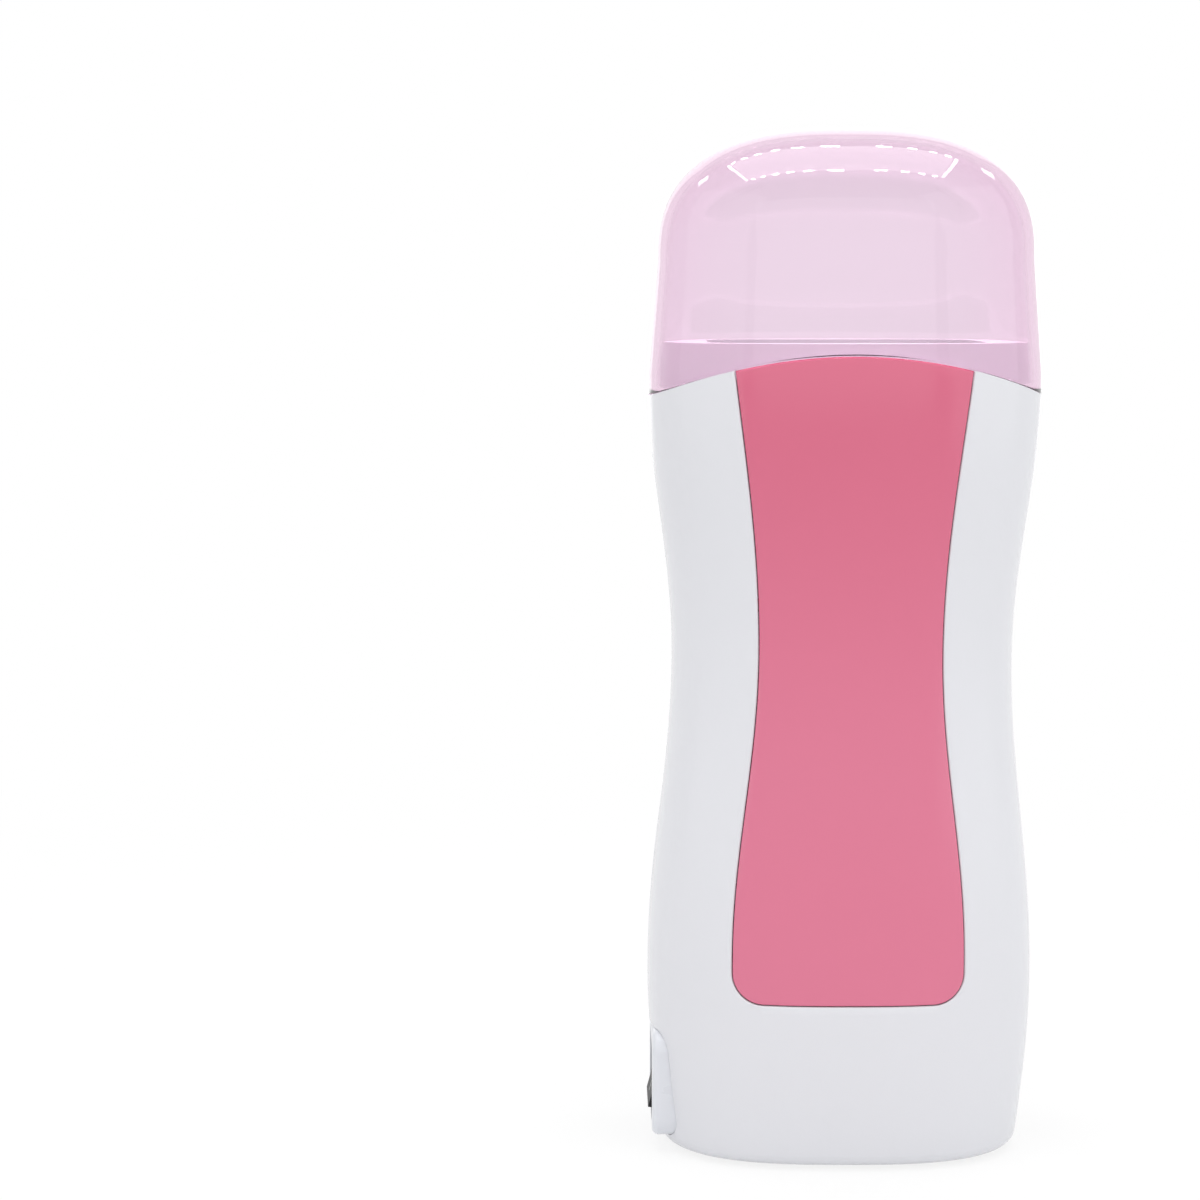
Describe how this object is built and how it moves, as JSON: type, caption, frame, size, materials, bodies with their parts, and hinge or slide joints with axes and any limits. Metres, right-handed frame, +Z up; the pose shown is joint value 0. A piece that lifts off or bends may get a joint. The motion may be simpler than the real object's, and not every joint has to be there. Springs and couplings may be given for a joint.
{
  "type": "wax heater",
  "caption": "Waisted upright depilatory wax cartridge heater with a clear tinted cap, pink front and rear panels, a rocker switch and a mains inlet.",
  "frame": {"origin": "middle of the footprint on the table", "axes": "+Z up; the front with its panel faces -Y; +X to the right of a viewer at the front, so the switch is on the -X side and the inlet on the +X side"},
  "size_m": [0.078, 0.057, 0.204],
  "materials": {
    "white_plastic": "gloss white",
    "pink_plastic": "gloss pink",
    "tinted_cap": "clear, tinted pale pink",
    "smoked_window": "clear, smoked",
    "collar_plastic": "satin white",
    "black_plastic": "satin black",
    "heat_plate": "bare sheet",
    "heater_ceramic": "unglazed",
    "insulator_sheet": "pressed mica sheet",
    "steel": "zinc plated",
    "brass": "bare",
    "rubber": "matt",
    "lead_sleeve": "heat-proof sleeve"
  },
  "bodies": {
    "housing": {"front_shell": "white_plastic", "rear_shell": "white_plastic", "front_panel": "pink_plastic", "rear_panel": "pink_plastic", "front_window": "smoked_window", "rear_window": "smoked_window", "neck_collar": "collar_plastic", "well_floor": "white_plastic", "front_heat_plate": "heat_plate", "rear_heat_plate": "heat_plate", "front_heater": "heater_ceramic", "rear_heater": "heater_ceramic", "front_insulator": "insulator_sheet", "rear_insulator": "insulator_sheet", "front_clip": "steel", "rear_clip": "steel", "clip_rivets": "steel", "thermostat": "black_plastic", "thermal_fuse": "steel", "switch_housing": "white_plastic", "switch_case": "black_plastic", "switch_terminals": "brass", "inlet_body": "black_plastic", "inlet_pins": "brass", "base_cover": "white_plastic", "base_screws": "steel", "shell_screws": "steel", "rubber_feet": "rubber", "live_lead": "lead_sleeve", "switched_lead": "lead_sleeve", "heater_link": "lead_sleeve", "neutral_lead": "lead_sleeve", "front_heater_lead": "lead_sleeve", "rear_heater_lead": "lead_sleeve", "lead_crimps": "steel"},
    "cap": {"cap": "tinted_cap"},
    "rocker": {"switch_rocker": "black_plastic", "contact_blade": "brass"}
  },
  "joints": [
    {"name": "cap_lift", "type": "slide", "parent": "housing", "child": "cap", "axis": [0, 0, 1], "range_m": [0, 0.065]},
    {"name": "rocker_tilt", "type": "hinge", "parent": "housing", "child": "rocker", "pos_m": [-0.0352, 0, 0.0122], "axis": [0, 1, 0], "range_deg": [-15, 0]}
  ]
}
